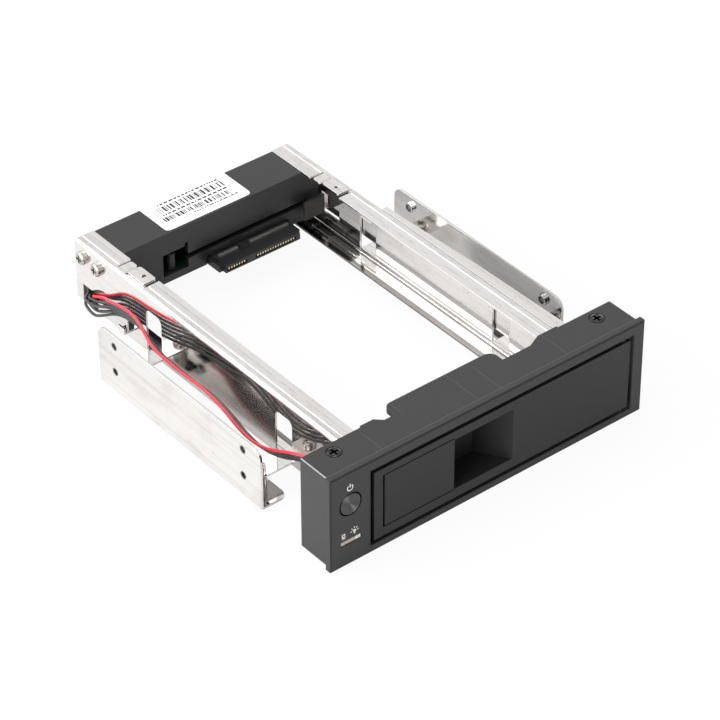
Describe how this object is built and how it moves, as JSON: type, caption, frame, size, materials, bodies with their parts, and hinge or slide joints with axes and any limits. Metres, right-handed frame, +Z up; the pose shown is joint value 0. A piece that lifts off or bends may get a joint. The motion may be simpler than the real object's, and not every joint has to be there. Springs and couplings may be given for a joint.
{
  "type": "hot swap drive cage",
  "caption": "Open sheet-metal cage for one 3.5 inch drive in a 5.25 inch bay, with a hinged front door, latch lever, power button, eject slider and rear backplane.",
  "frame": {"origin": "under the middle of the whole cage, at the height of the bezel's bottom edge", "axes": "+X to the right seen from the front, +Y from the bezel to the rear connectors, +Z up"},
  "size_m": [0.1492, 0.1862, 0.042],
  "materials": {
    "bezel_plastic": "satin moulded black ABS",
    "door_plastic": "satin moulded black ABS",
    "lever_plastic": "satin moulded black ABS",
    "button_plastic": "turned-look black button",
    "housing_plastic": "smooth black ABS",
    "rail_steel": "bright stainless sheet, rubbed",
    "screw_steel": "nickel plated",
    "pin_steel": "plain steel",
    "screw_black": "black oxide",
    "board_laminate": "green solder mask",
    "switch_black": "black connector plastic",
    "pipe_plastic": "milky light pipe",
    "connector_white": "cream nylon",
    "contact_gold": "gold flash",
    "capacitor_can": "sleeved can",
    "label_paper": "white label stock",
    "wire_red": "red insulation",
    "wire_black": "black insulation"
  },
  "bodies": {
    "cage": {"bezel_frame": "bezel_plastic", "backplane_housing": "housing_plastic", "rear_cover": "housing_plastic", "bottom_cover": "housing_plastic", "board_supports": "housing_plastic", "left_rail": "rail_steel", "right_rail": "rail_steel", "left_bracket": "rail_steel", "right_bracket": "rail_steel", "bracket_standoffs": "screw_steel", "bracket_screws": "screw_steel", "housing_screws": "screw_steel", "slider_rivets": "screw_steel", "board_screw": "screw_steel", "receptacle_clips": "screw_steel", "door_hinge_pins": "pin_steel", "bezel_screws": "screw_black", "front_board": "board_laminate", "backplane_board": "board_laminate", "power_switch": "switch_black", "drive_receptacle": "switch_black", "rear_data_port": "switch_black", "rear_power_port": "switch_black", "light_pipe": "pipe_plastic", "indicator_lamps": "pipe_plastic", "board_header": "connector_white", "harness_socket": "connector_white", "receptacle_contacts": "contact_gold", "capacitor": "capacitor_can", "label": "label_paper", "wire_red": "wire_red", "wire_black_1": "wire_black", "wire_black_2": "wire_black", "wire_black_3": "wire_black", "wire_black_4": "wire_black", "wire_black_5": "wire_black"},
    "door": {"door_panel": "door_plastic", "latch_lever_pin": "pin_steel", "latch_spring": "pin_steel"},
    "latch": {"latch_lever": "lever_plastic"},
    "button": {"power_button": "button_plastic", "switch_plunger": "button_plastic"},
    "ejector": {"eject_slider": "rail_steel", "pusher_pad": "housing_plastic"}
  },
  "joints": [
    {"name": "door_hinge", "type": "hinge", "parent": "cage", "child": "door", "pos_m": [0.0656, -0.0909, 0.02055], "axis": [0, 0, 1], "range_deg": [0, 90]},
    {"name": "latch_pivot", "type": "hinge", "parent": "door", "child": "latch", "pos_m": [-0.0466, -0.0903, 0.02095], "axis": [0, 0, 1], "range_deg": [-16, 0], "stiffness_Nm_per_rad": 0.03, "springref_deg": 8.59},
    {"name": "power_button_press", "type": "slide", "parent": "cage", "child": "button", "axis": [0, 1, 0], "range_m": [0, 0.0009], "stiffness_N_per_m": 400, "springref_m": -0.001},
    {"name": "eject_slide", "type": "slide", "parent": "cage", "child": "ejector", "axis": [0, -1, 0], "range_m": [0, 0.0092]}
  ],
  "couplings": [
    {"joint": "eject_slide", "follows": "door_hinge", "m_per_rad": 0.005856}
  ]
}
